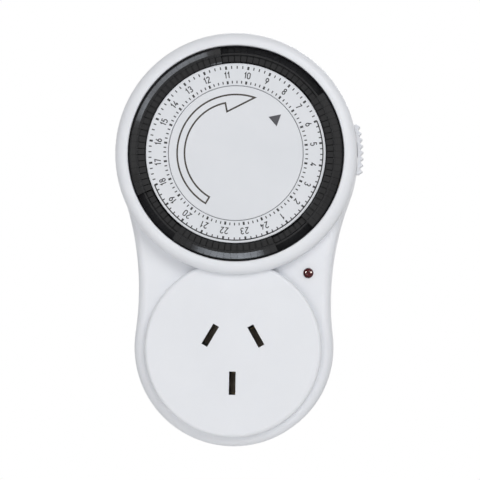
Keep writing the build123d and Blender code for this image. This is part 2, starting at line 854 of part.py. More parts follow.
# ---------------------------------------------------------------- motor
motor_floor = motor_bottom + motor_skin
with BuildPart() as motor_case:
    post(motor_radius, motor_bottom, motor_top, motor_x, motor_z)
    fillet(motor_case.faces().sort_by(Axis.Y)[-1].edges(), motor_round)
    post(motor_radius - motor_skin, motor_floor, motor_top, motor_x, motor_z, Mode.SUBTRACT)
save(motor_case, "motor_case")

with BuildPart() as motor_cover:
    with BuildSketch(front(motor_top)):
        draw_circle(motor_radius, motor_x, motor_z)
        with Locations((motor_x, motor_z)):
            SlotCenterToCenter(2 * motor_ear_reach, motor_ear_width)
        for x, z in motor_screws_at:
            draw_circle(motor_screw_radius + running_fit, x, z, Mode.SUBTRACT)
    extrude(amount=motor_cover_thickness)
    post(bearing_radius, motor_top, bearing_height, shaft_x, shaft_z)
    post(arbor_radius + running_fit, motor_top, bearing_height, shaft_x, shaft_z, Mode.SUBTRACT)
save(motor_cover, "motor_cover")

with BuildPart() as motor_screws:
    for x, z in motor_screws_at:
        post(motor_screw_radius, motor_top, motor_top + motor_screw_length, x, z)
        post(2 * motor_screw_radius, motor_top - motor_screw_head, motor_top, x, z)
save(motor_screws, "motor_screws")

coil_top = shaft_bottom - coil_play
with BuildPart() as coil_bobbin:
    turned(
        motor_x,
        motor_z,
        (coil_inner, motor_floor),
        (coil_outer, motor_floor),
        (coil_outer, motor_floor + bobbin_flange),
        (coil_inner + bobbin_flange, motor_floor + bobbin_flange),
        (coil_inner + bobbin_flange, coil_top - bobbin_flange),
        (coil_outer, coil_top - bobbin_flange),
        (coil_outer, coil_top),
        (coil_inner, coil_top),
    )
save(coil_bobbin, "coil_bobbin")

with BuildPart() as coil_winding:
    turned(
        motor_x,
        motor_z,
        (coil_inner + bobbin_flange, motor_floor + bobbin_flange),
        (winding_outer, motor_floor + bobbin_flange),
        (winding_outer, coil_top - bobbin_flange),
        (coil_inner + bobbin_flange, coil_top - bobbin_flange),
    )
save(coil_winding, "coil_winding")

# ---------------------------------------------------------------- switch
pushed_foot = foot_bottom - tappet_travel
nose_top = pushed_foot - nose_clearance
blade_top = blade_height + blade_thickness
half_lever = lever_width / 2
half_blade = blade_width / 2
with BuildPart() as switch_lever:
    lever_reach = lever_length + lever_end
    block(switch_plane(lever_bottom), -lever_end, lever_reach, -half_lever, half_lever, lever_thickness)
    with BuildSketch(switch_plane(lever_top - overlap)):
        with Locations((lever_length, 0)):
            Circle(nose_radius)
    extrude(amount=nose_top - lever_top + overlap)
    fillet(switch_lever.faces().sort_by(Axis.Y)[0].edges(), nose_radius / 3)
    pusher_bottom = blade_top + contact_gap
    block(
        switch_plane(pusher_bottom),
        pusher_place - pusher_half_length,
        pusher_place + pusher_half_length,
        -half_blade,
        half_blade,
        lever_bottom + overlap - pusher_bottom,
    )
    # tab that the override finger holds down
    block(
        switch_plane(lever_top - tab_thickness),
        tab_place - tab_half_length,
        tab_place + tab_half_length,
        -tab_reach,
        overlap - half_lever,
        tab_thickness,
    )
    with BuildSketch(pivot_section):
        Circle(pivot_radius + running_fit)
    extrude(amount=half_lever + overlap, both=True, mode=Mode.SUBTRACT)
save(switch_lever, "switch_lever")

with BuildPart() as lever_pin:
    with BuildSketch(pivot_section):
        Circle(pivot_radius)
    extrude(amount=ear_inner + ear_thickness, both=True)
save(lever_pin, "lever_pin")

rivet_bottom = blade_height - rivet_height
blade_from = blade_root - blade_end
blade_to = contact_place + blade_end
with BuildPart() as contact_blade:
    block(switch_plane(blade_height), blade_from, blade_to, -half_blade, half_blade, blade_thickness)
    with BuildSketch(switch_plane(rivet_bottom)):
        with Locations((contact_place, 0)):
            Circle(rivet_radius)
    extrude(amount=rivet_height + blade_thickness)
    with BuildSketch(switch_plane(blade_height)):
        with Locations((blade_root, 0)):
            Circle(root_rivet_radius + blade_hole_play)
    extrude(amount=blade_thickness, mode=Mode.SUBTRACT)
save(contact_blade, "contact_blade")

half_strap = strap_width / 2
tab_height = plate_top + strap - tab_bottom
fixed_end = fixed_tab + strap
with BuildPart() as fixed_contact:
    block(switch_plane(plate_top), contact_place - blade_end, fixed_end, -half_strap, half_strap, strap)
    block(switch_plane(tab_bottom), fixed_tab, fixed_end, -half_strap, half_strap, tab_height)
    with BuildSketch(switch_plane(plate_top)):
        with Locations((contact_place, 0)):
            Circle(rivet_radius + contact_gap)
    extrude(amount=rivet_bottom - contact_gap - plate_top)
save(fixed_contact, "fixed_contact")

with BuildPart() as blade_terminal:
    root_block = blade_height - blade_seat - plate_top
    block(switch_plane(plate_top), root_tab, blade_root + blade_end, -half_strap, half_strap, root_block)
    block(switch_plane(tab_bottom), root_tab, root_tab + strap, -half_strap, half_strap, tab_height)
    with BuildSketch(switch_plane(plate_top)):
        with Locations((blade_root, 0)):
            Circle(root_rivet_radius)
    extrude(amount=blade_top + running_gap + rivet_head - plate_top)
    with BuildSketch(switch_plane(blade_top + running_gap)):
        with Locations((blade_root, 0)):
            Circle(root_rivet_radius + rivet_head_reach)
    extrude(amount=rivet_head)
save(blade_terminal, "blade_terminal")

# ---------------------------------------------------------------- override knob
knob_from = knob_centre - knob_span / 2
knob_to = knob_centre + knob_span / 2
with BuildPart() as override_knob:
    with BuildSketch(front(neck_height - knob_width / 2)):
        draw_sector(knob_inner, knob_outer, knob_from, knob_to)
        tooth_span = knob_span / knob_tooth_count
        tooth_foot = knob_outer - knob_thickness / 4
        for tooth in range(knob_tooth_count):
            start = knob_from + tooth * tooth_span
            draw_polygon(
                polar(tooth_foot, start, 0, dial_rise),
                polar(knob_outer + knob_tooth_height, start + tooth_span / 2, 0, dial_rise),
                polar(tooth_foot, start + tooth_span, 0, dial_rise),
            )
    extrude(amount=knob_width)
    with BuildSketch(front(neck_height - neck_width / 2)):
        draw_sector(slider_outer, knob_inner + knob_thickness / 2, neck_from, neck_to)
    extrude(amount=neck_width)
save(override_knob, "override_knob")

half_finger = math.degrees(finger_width / 2 / finger_reach)
finger_root = slider_inner + slider_thickness / 2
with BuildPart() as override_slider:
    with BuildSketch(front(plate_top + end_play)):
        draw_sector(slider_inner, slider_outer, knob_centre - slider_span / 2, finger_angle + finger_lap)
    extrude(amount=finger_top - plate_top - end_play)
    with BuildSketch(front(finger_bottom)):
        draw_sector(finger_reach, finger_root, finger_angle - half_finger, finger_angle + half_finger)
    extrude(amount=finger_top - finger_bottom)
save(override_slider, "override_slider")

# ---------------------------------------------------------------- pins and contacts
pin_tops = {"active": carrier_height - active_drop, "neutral": carrier_top, "earth": carrier_top}
for name in pin_places:
    length = earth_pin_length if name == "earth" else live_pin_length
    tip = pin_plane(name, -length)
    half_thickness = pin_thickness / 2
    half_width = pin_width / 2
    with BuildPart() as pin:
        if name == "earth":
            block(tip, -half_thickness, half_thickness, -half_width, half_width, length)
        else:
            bare = length - sleeve_length
            block(tip, -half_thickness, half_thickness, -half_width, half_width, bare)
            block(
                pin_plane(name, -sleeve_length),
                -half_thickness + sleeve_skin,
                half_thickness - sleeve_skin,
                -half_width + sleeve_skin,
                half_width - sleeve_skin,
                sleeve_length,
            )
        chamfer(pin.faces().sort_by(Axis.Y)[-1].edges(), pin_thickness / 4)
        block(pin_plane(name, 0), -half_thickness, half_thickness, -half_width, half_width, pin_tops[name])
        block(
            pin_plane(name, floor),
            -collar_thickness / 2,
            collar_thickness / 2,
            -collar_width / 2,
            collar_width / 2,
            collar_depth,
        )
    save(pin, f"{name}_pin")

for name in ("active", "neutral"):
    with BuildPart() as sleeve:
        plane = pin_plane(name, -sleeve_length)
        half_thickness = pin_thickness / 2
        half_width = pin_width / 2
        block(plane, -half_thickness, half_thickness, -half_width, half_width, sleeve_length)
        half_thickness -= sleeve_skin
        half_width -= sleeve_skin
        block(plane, -half_thickness, half_thickness, -half_width, half_width, sleeve_length, Mode.SUBTRACT)
    save(sleeve, f"{name}_sleeve")

with BuildPart() as contact_carrier:
    with BuildSketch(front(carrier_height)):
        Circle(carrier_radius)
        for x, z in carrier_screws_at:
            draw_circle(motor_screw_radius + running_fit, x, z, Mode.SUBTRACT)
    extrude(amount=carrier_thickness)
    for name in pin_places:
        plane = pin_plane(name, carrier_top)
        half_x = contact_spread + contact_fit
        half_y = contact_width / 2 + contact_fit
        outer_x = half_x + frame_wall
        outer_y = half_y + frame_wall
        block(plane, -outer_x, outer_x, -outer_y, outer_y, frame_height)
        block(plane, -half_x, half_x, -half_y, half_y, frame_height, Mode.SUBTRACT)
    for name in ("neutral", "earth"):
        plane = pin_plane(name, carrier_height)
        half_x = pin_thickness / 2 + pin_fit
        half_y = pin_width / 2 + pin_fit
        block(plane, -half_x, half_x, -half_y, half_y, carrier_thickness, Mode.SUBTRACT)
save(contact_carrier, "contact_carrier")

for name, (x, z, turn) in pin_places.items():
    leaf = [
        (contact_spread, carrier_top),
        (contact_spread, carrier_top + contact_bend),
        (contact_neck + contact_sheet, contact_pinch),
        (contact_mouth + contact_sheet, contact_top),
        (contact_mouth, contact_top),
        (contact_neck, contact_pinch),
        (contact_spread - contact_sheet, carrier_top + contact_bend),
        (contact_spread - contact_sheet, carrier_top + contact_sheet),
    ]
    other_leaf = [(-radius, height) for radius, height in reversed(leaf)]
    with BuildPart() as contact:
        with BuildSketch(section(x, z, turn)):
            draw_polygon(*leaf, *other_leaf)
        extrude(amount=contact_width / 2, both=True)
    save(contact, f"{name}_contact")

with BuildPart() as carrier_screws:
    for x, z in carrier_screws_at:
        post(motor_screw_radius, carrier_top - carrier_screw_length, carrier_top, x, z)
        post(2 * motor_screw_radius, carrier_top, carrier_top + motor_screw_head, x, z)
save(carrier_screws, "carrier_screws")

# ---------------------------------------------------------------- lamp
with BuildPart() as indicator_lens:
    post(lens_radius - lens_fit, saddle_height - wall - overlap, saddle_height, lamp_x, lamp_z)
    post(lens_radius, saddle_height, saddle_height + lens_height, lamp_x, lamp_z)
    fillet(indicator_lens.faces().sort_by(Axis.Y)[0].edges(), lens_height * 0.9)
save(indicator_lens, "indicator_lens")

with BuildPart() as neon_lamp:
    post(lamp_radius, lamp_bottom, lamp_bottom + lamp_length, lamp_x, lamp_z)
    fillet(neon_lamp.faces().sort_by(Axis.Y)[0].edges(), lamp_radius * 0.8)
    for side in (-1, 1):
        lead_x = lamp_x + side * lead_offset
        post(lead_radius, lamp_bottom - lead_length, lamp_bottom, lead_x, lamp_z)
save(neon_lamp, "neon_lamp")

resistor_top = lamp_bottom - lead_length
with BuildPart() as lamp_resistor:
    post(resistor_radius, resistor_top - resistor_length, resistor_top, lamp_x - lead_offset, lamp_z)
    fillet(lamp_resistor.edges().filter_by(GeomType.CIRCLE), resistor_radius / 3)
save(lamp_resistor, "lamp_resistor")

# ---------------------------------------------------------------- wires
def near_plate(inset, angle, height):
    """Point of a wire's route, within the plate's edge at an angle about the dial's axis."""
    x, z = polar(plate_radius - inset, angle, 0, dial_rise)
    return (x, -height, z)


def near_socket(radius, angle, height):
    """Point of a wire's route, at a radius and an angle about the socket's centre."""
    x, z = polar(radius, angle)
    return (x, -height, z)


def run_wire(start, leaving, route, end, arriving):
    """Round wire with rounded bends that stands square on the faces at its two ends."""
    first = Vector(start) + Vector(leaving) * wire_stub
    last = Vector(end) - Vector(arriving) * wire_stub
    with BuildLine() as path:
        FilletPolyline(start, first, *route, last, end, radius=wire_bend)
    with BuildSketch(Plane(origin=start, z_dir=leaving)) as profile:
        Circle(wire_radius)
    sweep(profile.sketch, path=path.wire())


def motor_exit(angle):
    """Point on the motor case where a wire leaves it, and the way it leaves."""
    x, z = polar(motor_radius, angle, motor_x, motor_z)
    out_x, out_z = polar(1, angle)
    return (x, -motor_wire_height, z), (out_x, 0, out_z)


active_end = pin_plane("active", pin_wire_height)
neutral_end = pin_plane("neutral", pin_wire_height)
active_leaf = section(*pin_places["active"])
neutral_leaf = section(*pin_places["neutral"])
low_tab = switch_plane(low_wire_height)
high_tab = switch_plane(high_wire_height)
to_wall = Vector(0, 1, 0)

with BuildPart() as supply_wire:
    run_wire(
        active_end.from_local_coords((0, pin_width / 2)),
        active_end.y_dir,
        [
            near_socket(18.1, 84, plate_run),
            near_plate(0.7, -69, plate_run),
            near_plate(2.1, -46, plate_run),
            near_plate(1.9, -26, plate_run + 1.2),
        ],
        low_tab.from_local_coords((root_tab, 0)),
        low_tab.x_dir,
    )
save(supply_wire, "supply_wire")

with BuildPart() as switched_wire:
    run_wire(
        low_tab.from_local_coords((fixed_tab, 0)),
        -low_tab.x_dir,
        [
            near_plate(6.5, 20, plate_run - 0.6),
            near_plate(6.9, -3, floor_run + 1.0),
            near_plate(8.1, -32, floor_run + 0.2),
            near_plate(3.7, -55, floor_run),
            near_plate(-1.2, -65, floor_run + 1.4),
            near_plate(-5.3, -71, plate_run + 3.8),
            near_socket(17.0, 66, socket_run),
            near_socket(13.7, 98, socket_run + 1.0),
            near_socket(16.3, 132, socket_run),
            near_socket(16.0, 148, socket_run - 1.2),
        ],
        active_leaf.from_local_coords((-contact_spread, leaf_wire_height)),
        active_leaf.x_dir,
    )
save(switched_wire, "switched_wire")

with BuildPart() as motor_supply_wire:
    start, leaving = motor_exit(motor_supply_angle)
    run_wire(
        start,
        leaving,
        [near_plate(8.1, -31, plate_run + 1.4), near_plate(2.8, -25, plate_run + 4.0)],
        high_tab.from_local_coords((root_tab, 0)),
        high_tab.x_dir,
    )
save(motor_supply_wire, "motor_supply_wire")

with BuildPart() as motor_neutral_wire:
    start, leaving = motor_exit(motor_neutral_angle)
    run_wire(
        start,
        leaving,
        [
            near_plate(6.8, -107, floor_run + 2.6),
            near_plate(-2.2, -96, floor_run + 0.2),
            near_socket(14.0, 88, floor_run),
        ],
        neutral_end.from_local_coords((0, pin_width / 2)),
        -neutral_end.y_dir,
    )
save(motor_neutral_wire, "motor_neutral_wire")

with BuildPart() as lamp_supply_wire:
    run_wire(
        (lamp_x - lead_offset, resistor_length - resistor_top, lamp_z),
        to_wall,
        [
            (lamp_x - 1.4, -floor_run - 2.0, lamp_z + 2.8),
            near_plate(1.8, -45, floor_run),
            near_plate(5.5, -24, floor_run),
            near_plate(4.0, -1, floor_run + 1.4),
            near_plate(4.2, 19, plate_run + 1.0),
        ],
        high_tab.from_local_coords((fixed_tab, 0)),
        high_tab.x_dir,
    )
save(lamp_supply_wire, "lamp_supply_wire")

with BuildPart() as lamp_neutral_wire:
    run_wire(
        (lamp_x + lead_offset, -resistor_top, lamp_z),
        to_wall,
        [
            (lamp_x + 1.8, 2.3 - resistor_top, lamp_z - 2.6),
            near_socket(23.8, 39, carrier_top + 2.4),
        ],
        neutral_leaf.from_local_coords((contact_spread, leaf_wire_height)),
        -neutral_leaf.x_dir,
    )
save(lamp_neutral_wire, "lamp_neutral_wire")
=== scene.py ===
import json
import math

import bmesh
import bpy
from mathutils import Matrix, Vector


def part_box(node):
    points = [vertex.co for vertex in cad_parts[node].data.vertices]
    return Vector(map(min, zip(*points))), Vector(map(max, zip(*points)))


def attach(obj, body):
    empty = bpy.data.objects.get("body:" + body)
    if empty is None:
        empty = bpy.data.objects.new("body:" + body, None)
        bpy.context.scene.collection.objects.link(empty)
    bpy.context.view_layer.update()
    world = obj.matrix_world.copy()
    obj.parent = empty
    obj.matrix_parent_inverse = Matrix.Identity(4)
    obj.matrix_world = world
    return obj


# Looks of a plug in timer switch: materials, the dial's print, painted shade for the screws' cross
# recesses and the studio.
# Metres, in the frame of the CAD: X right, Z up, the front faces -Y.
MM = 0.001

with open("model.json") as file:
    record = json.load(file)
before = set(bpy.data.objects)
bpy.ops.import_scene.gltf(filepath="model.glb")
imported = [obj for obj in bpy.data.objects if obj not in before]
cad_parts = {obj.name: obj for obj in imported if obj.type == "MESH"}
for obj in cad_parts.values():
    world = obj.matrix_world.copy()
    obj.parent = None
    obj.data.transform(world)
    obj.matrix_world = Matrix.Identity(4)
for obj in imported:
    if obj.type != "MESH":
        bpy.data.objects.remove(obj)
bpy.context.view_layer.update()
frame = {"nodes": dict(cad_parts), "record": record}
nodes = frame["nodes"]

# ---------------------------------------------------------------- places from the frame
disc_low, disc_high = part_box("centre_disc")
DIAL_X = (disc_low.x + disc_high.x) / 2
DIAL_Z = (disc_low.z + disc_high.z) / 2
DISC_FACE = disc_low.y
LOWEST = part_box("front_housing")[0].z

# ---------------------------------------------------------------- dial print
HOURS = 24
QUARTERS_PER_HOUR = 4
HOUR_STEP = 360 / HOURS
FIRST_HOUR = 7
FIRST_HOUR_ANGLE = 37.5  # hours run anticlockwise from here
INK_LIFT = 0.02 * MM  # of a flat piece over the face that carries it
ARC_STEP = 2.0  # degrees between the points of an arc
MITRE_LIMIT = 0.35  # keeps the corners of sharp bends short

NUMERAL_MIDDLE = 23.45 * MM
NUMERAL_HEIGHT = 2.05 * MM
NUMERAL_LINE = 0.30 * MM
FIGURE_WIDTH = 0.46  # figures are drawn one unit high
FIGURE_GAP = 0.32  # between the pen lines of two figures, in the same unit
BOW_STEP = 20  # degrees between the points of a figure's bow

OUTER_TICKS = (25.15 * MM, 26.15 * MM)
INNER_TICKS = (20.75 * MM, 21.7 * MM)
TICK_WIDTH = 0.33 * MM
HOUR_TICK_WIDTH = 0.60 * MM
QUARTER_INSET = 0.15 * MM  # a quarter's tick starts further out than an hour's
NIGHT_RADIUS = 26.12 * MM
NIGHT_WIDTH = 0.38 * MM
NIGHT_FROM = 18
NIGHT_TO = 30  # six in the morning

# Angles in degrees, anticlockwise from +X
ARROW_LINE = 0.50 * MM
ARROW_OUTER = 17.57 * MM
ARROW_INNER = 15.36 * MM
ARROW_TAIL = 240.0
ARROW_NECK = 102.7
ARROW_TIP = 72.0
ARROW_BARB = (12.7 * MM, 102.9)
POINTER_TIP = 17.85 * MM
POINTER_BASE = 14.5 * MM
POINTER_ANGLE = 41.4
POINTER_SPREAD = 7.4  # from the pointer's middle to a corner of its base

# ---------------------------------------------------------------- painted shade of the screws' cross recesses
CROSS_REACH = 1.25 * MM
CROSS_WIDTH = 0.55 * MM
CROSS_TURNS = (17, 62, 38, 5)  # degrees that each screw ended at
HEAD_SLACK = 0.05 * MM  # points this close to the rearmost lie on a screw's head

# ---------------------------------------------------------------- camera, from the photograph
PHOTO_PIXELS = 480
PIXEL_SIZE = 0.3003 * MM  # of the photograph, at the socket's face
AIM = Vector((1.6 * MM, -33.0 * MM, 32.7 * MM))
CAMERA_DISTANCE = 1.1
CAMERA_RIGHT = 2.0  # degrees off the front
CAMERA_DOWN = 2.0
CAMERA_ROLL = 1.0
SENSOR = 36.0
CLIP_START = 0.01

# ---------------------------------------------------------------- stage and light
FLOOR_DROP = 0.45  # below the object, and below the lower strip light
FLOOR_REACH = 4.0
FLOOR_PALE = (0.86, 0.86, 0.86, 1)
FLOOR_ROUGH = (0.6, 0.7)
FLOOR_GLOW = 0.25
WHITE = (1, 1, 1, 1)
WORLD_LEVEL = 0.42

# Each light: angle round the dial from +X, angle forward of its plane, distance from the
# dial, length round the dial and width, radiance. Degrees and metres.
LIGHTS = {
    "key": (50, 62, 1.4, (0.65, 0.65), 5.4),
    "fill": (228, 64, 1.4, (0.65, 0.65), 3.7),
    "back": (70, -58, 1.4, (0.8, 0.8), 3.0),
}
TAPPET_GLEAMS = {
    "upper_strip": (134, 1, 0.9, (0.85, 0.08), 7.2),
    "lower_strip": (265, 9.5, 0.42, (0.28, 0.05), 12.5),
}
LENS_GLEAMS = {
    "left_glint": (163, 48, 0.6, (0.26, 0.26), 90),
    "right_glint": (15, 36, 0.6, (0.26, 0.26), 75),
}
COOL = (0.84, 0.90, 1.0)
WARM = (1.0, 0.94, 0.86)

# ---------------------------------------------------------------- material tables
NOISE_LOW = 0.3  # most of a noise lies between these
NOISE_HIGH = 0.7
# Noise: its scale and its detail
CLOUDS = (60, 4)
UNEVEN_GLOSS = (220, 5)
GRAIN = (1800, 2)
TARNISH = (150, 5)
GLASS_GLOSS = (400, 2)
WAVES = (500, 2)
INK_CLOUDS = (900, 2)
INK_GLOSS = (1500, 2)
FLOOR_GLOSS = (6, 2)
# Noise of worked metal: its scale, its detail and how it is drawn out
STAMPED = (900, 3, (1, 0.05, 1))
PLATED = (900, 3, (0.2, 1, 0.2))
DRAWN = (900, 3, (0.1, 1, 0.1))
WOUND = (2500, 3, (0.05, 1, 0.05))
# Bump: its height and its strength
GRAIN_BUMP = (0.004 * MM, 0.6)
STREAK_BUMP = (0.004 * MM, 0.5)
WAVE_BUMP = (0.002 * MM, 0.4)
PLASTIC_IOR = 1.5
SKIN_RADIUS = (1.0, 0.9, 0.8)
SKIN_SCALE = 1.0 * MM
INK_ROUGH = (0.45, 0.6)

# Slot: two colours that cloud into each other, roughness, light under the skin, specular
PLASTICS = {
    "housing": ((0.765, 0.78, 0.815), (0.785, 0.80, 0.835), (0.38, 0.46), 0.08, 0.5),
    "dial_white": ((0.69, 0.71, 0.745), (0.72, 0.735, 0.77), (0.36, 0.44), 0.0, 0.5),
    "tappet_black": ((0.008, 0.008, 0.009), (0.012, 0.012, 0.013), (0.14, 0.22), 0.0, 0.3),
    "wheel_black": ((0.008, 0.008, 0.009), (0.012, 0.012, 0.013), (0.42, 0.52), 0.0, 0.3),
    "wire_sleeve": ((0.30, 0.025, 0.02), (0.36, 0.035, 0.03), (0.35, 0.45), 0.0, 0.5),
    "gear_white": ((0.76, 0.75, 0.69), (0.80, 0.79, 0.73), (0.34, 0.44), 0.1, 0.5),
    "plate_grey": ((0.11, 0.112, 0.115), (0.14, 0.142, 0.145), (0.40, 0.50), 0.0, 0.5),
    "sleeve_black": ((0.018, 0.018, 0.018), (0.03, 0.03, 0.03), (0.40, 0.50), 0.0, 0.5),
    "bobbin": ((0.66, 0.63, 0.55), (0.70, 0.67, 0.59), (0.40, 0.50), 0.0, 0.5),
    "resistor_body": ((0.50, 0.38, 0.24), (0.56, 0.43, 0.28), (0.30, 0.40), 0.0, 0.5),
}
# Slot: two colours, roughness, streaks
METALS = {
    "brass": ((0.72, 0.52, 0.23), (0.80, 0.60, 0.30), (0.20, 0.32), STAMPED),
    # contact_bronze is darkened well below clean bronze: partly tarnish, partly painted shade for
    # the dark deep inside the socket's slots
    "contact_bronze": ((0.29, 0.25, 0.21), (0.36, 0.31, 0.25), (0.40, 0.52), STAMPED),
    "steel": ((0.52, 0.52, 0.53), (0.62, 0.62, 0.63), (0.26, 0.38), PLATED),
    "motor_can": ((0.66, 0.67, 0.68), (0.74, 0.75, 0.76), (0.28, 0.42), DRAWN),
    "winding_copper": ((0.50, 0.19, 0.07), (0.62, 0.26, 0.11), (0.25, 0.40), WOUND),
}
# Slot: colour, roughness, refractive index, how much light goes through, specular
CLEARS = {
    "lens_red": ((0.062, 0.0015, 0.003), (0.02, 0.05), 1.49, 0.25, 0.2),
    "glass": ((0.93, 0.90, 0.86), (0.02, 0.05), 1.47, 1.0, 0.5),
}
# Name: two colours
INKS = {
    "print_black": ((0.012, 0.012, 0.014), (0.022, 0.022, 0.025)),
    "print_brown": ((0.022, 0.016, 0.012), (0.036, 0.027, 0.020)),
    # Painted shade: the dark colour of the flat crosses that stand in for the screws' cross
    # recesses
    "painted_recess_shade": ((0.018, 0.018, 0.019), (0.04, 0.04, 0.042)),
    "print_grey": ((0.045, 0.045, 0.055), (0.06, 0.06, 0.07)),
}


# ---------------------------------------------------------------- material helpers
def new_material(name):
    material = bpy.data.materials.new(name)
    material.use_nodes = True
    tree = material.node_tree
    return material, tree, tree.nodes["Principled BSDF"]


def link(tree, source, output, target, socket):
    tree.links.new(source.outputs[output], target.inputs[socket])


def noise(tree, scale, detail, stretch=(1.0, 1.0, 1.0)):
    """Noise in object space, drawn out along an axis where its stretch is small."""
    place = tree.nodes.new("ShaderNodeTexCoord")
    mapping = tree.nodes.new("ShaderNodeMapping")
    mapping.inputs["Scale"].default_value = stretch
    texture = tree.nodes.new("ShaderNodeTexNoise")
    texture.inputs["Scale"].default_value = scale
    texture.inputs["Detail"].default_value = detail
    link(tree, place, "Object", mapping, "Vector")
    link(tree, mapping, "Vector", texture, "Vector")
    return texture


def roughen(tree, texture, shader, low, high):
    """The texture drives the roughness between low and high."""
    spread = tree.nodes.new("ShaderNodeMapRange")
    spread.inputs["From Min"].default_value = NOISE_LOW
    spread.inputs["From Max"].default_value = NOISE_HIGH
    spread.inputs["To Min"].default_value = low
    spread.inputs["To Max"].default_value = high
    link(tree, texture, "Fac", spread, "Value")
    link(tree, spread, "Result", shader, "Roughness")


def tint(tree, texture, shader, low, high):
    """The texture drives the base colour between two colours."""
    ramp = tree.nodes.new("ShaderNodeValToRGB")
    first, last = ramp.color_ramp.elements
    first.position, first.color = NOISE_LOW, (*low, 1)
    last.position, last.color = NOISE_HIGH, (*high, 1)
    link(tree, texture, "Fac", ramp, "Fac")
    link(tree, ramp, "Color", shader, "Base Color")


def bump(tree, texture, shader, height, strength):
    """The texture raises the surface by a height."""
    bumps = tree.nodes.new("ShaderNodeBump")
    bumps.inputs["Distance"].default_value = height
    bumps.inputs["Strength"].default_value = strength
    link(tree, texture, "Fac", bumps, "Height")
    link(tree, bumps, "Normal", shader, "Normal")


def plastic(name, low, high, rough, subsurface, specular):
    """Moulded plastic: faint clouding of colour, uneven gloss and a fine moulded grain."""
    material, tree, shader = new_material(name)
    tint(tree, noise(tree, *CLOUDS), shader, low, high)
    roughen(tree, noise(tree, *UNEVEN_GLOSS), shader, *rough)
    bump(tree, noise(tree, *GRAIN), shader, *GRAIN_BUMP)
    shader.inputs["IOR"].default_value = PLASTIC_IOR
    shader.inputs["Specular IOR Level"].default_value = specular
    if subsurface:
        shader.inputs["Subsurface Weight"].default_value = subsurface
        shader.inputs["Subsurface Radius"].default_value = SKIN_RADIUS
        shader.inputs["Subsurface Scale"].default_value = SKIN_SCALE
    return material


def metal(name, low, high, rough, streaks):
    """Worked metal: drawn or brushed streaks in gloss and surface, and faint tarnish."""
    material, tree, shader = new_material(name)
    shader.inputs["Metallic"].default_value = 1.0
    tint(tree, noise(tree, *TARNISH), shader, low, high)
    texture = noise(tree, *streaks)
    roughen(tree, texture, shader, *rough)
    bump(tree, texture, shader, *STREAK_BUMP)
    return material


def clear(name, colour, rough, ior, through, specular):
    """Clear moulding or glass, with faint waves in its surface."""
    material, tree, shader = new_material(name)
    shader.inputs["Specular IOR Level"].default_value = specular
    shader.inputs["Base Color"].default_value = (*colour, 1)
    shader.inputs["Transmission Weight"].default_value = through
    shader.inputs["IOR"].default_value = ior
    roughen(tree, noise(tree, *GLASS_GLOSS), shader, *rough)
    bump(tree, noise(tree, *WAVES), shader, *WAVE_BUMP)
    return material


def ink(name, low, high):
    """Printed ink, and the painted shade of the screws' recesses: faint clouding of colour and
    uneven gloss.
    """
    material, tree, shader = new_material(name)
    tint(tree, noise(tree, *INK_CLOUDS), shader, low, high)
    roughen(tree, noise(tree, *INK_GLOSS), shader, *INK_ROUGH)
    return material


# ---------------------------------------------------------------- materials on the CAD nodes
paint = {
    name: make(name, *look)
    for make, looks in ((plastic, PLASTICS), (metal, METALS), (clear, CLEARS), (ink, INKS))
    for name, look in looks.items()
}
for row in frame["record"]["subparts"]:
    node = nodes[row["node"]]
    node.data.materials.clear()
    node.data.materials.append(paint[row["material_slot"]])
    for polygon in node.data.polygons:
        polygon.use_smooth = True


# ---------------------------------------------------------------- flat shapes
def polar(radius, angle):
    turn = math.radians(angle)
    return (radius * math.cos(turn), radius * math.sin(turn))


def spaced(start, end, step):
    """Angles from start to end, both included, about a step apart."""
    count = round(abs(end - start) / step)
    return [start + (end - start) * i / count for i in range(count + 1)]


def arc(radius, start, end):
    """Points along an arc about the dial's axis."""
    return [polar(radius, angle) for angle in spaced(start, end, ARC_STEP)]


def bow(x, y, across, up, start, end):
    """Points along part of an oval."""
    turns = [math.radians(angle) for angle in spaced(start, end, BOW_STEP)]
    return [(x + across * math.cos(turn), y + up * math.sin(turn)) for turn in turns]


def ribbon(points, width, closed=False):
    """Quads along a line of points, mitred at each corner."""
    path = [Vector(point) for point in points]
    steps = [(after - here).normalized() for here, after in zip(path, path[1:] + path[:1])]
    if not closed:
        steps[-1] = steps[-2]
    sides = []
    for i, point in enumerate(path):
        out = steps[i]
        into = steps[i - 1] if closed or i > 0 else out
        mitre = Vector((-into.y - out.y, into.x + out.x)).normalized()
        reach = width / 2 / max(MITRE_LIMIT, mitre.dot(Vector((-out.y, out.x))))
        sides.append((point + mitre * reach, point - mitre * reach))
    quads = [[here[1], after[1], after[0], here[0]] for here, after in zip(sides, sides[1:])]
    if closed:
        quads.append([sides[-1][1], sides[0][1], sides[0][0], sides[-1][0]])
    return quads


def radial_bar(inner, outer, angle, width):
    """Bar that points away from an axis."""
    along = Vector(polar(1, angle))
    across = Vector((-along.y, along.x)) * width / 2
    start, end = along * inner, along * outer
    return [start - across, end - across, end + across, start + across]


def flat_piece(name, faces, facing, body, material):
    """Thin sheet from flat faces; facing is -1 where it looks to the front and 1 to the back."""
    work = bmesh.new()
    for face in faces:
        work.faces.new([work.verts.new(corner) for corner in face])
    for face in work.faces:
        face.normal_update()
        if face.normal.y * facing < 0:
            face.normal_flip()
    mesh = bpy.data.meshes.new(name)
    work.to_mesh(mesh)
    work.free()
    piece = bpy.data.objects.new(name, mesh)
    bpy.context.scene.collection.objects.link(piece)
    mesh.materials.append(paint[material])
    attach(piece, body)


def print_piece(name, faces, body, material):
    """Ink on the dial's face, from flat faces about the dial's axis."""
    placed = [[(DIAL_X + x, DISC_FACE - INK_LIFT, DIAL_Z + z) for x, z in face] for face in faces]
    flat_piece(name, placed, -1, body, material)


# ---------------------------------------------------------------- print on the dial
def hour_angle(hour):
    return FIRST_HOUR_ANGLE + HOUR_STEP * (hour - FIRST_HOUR)


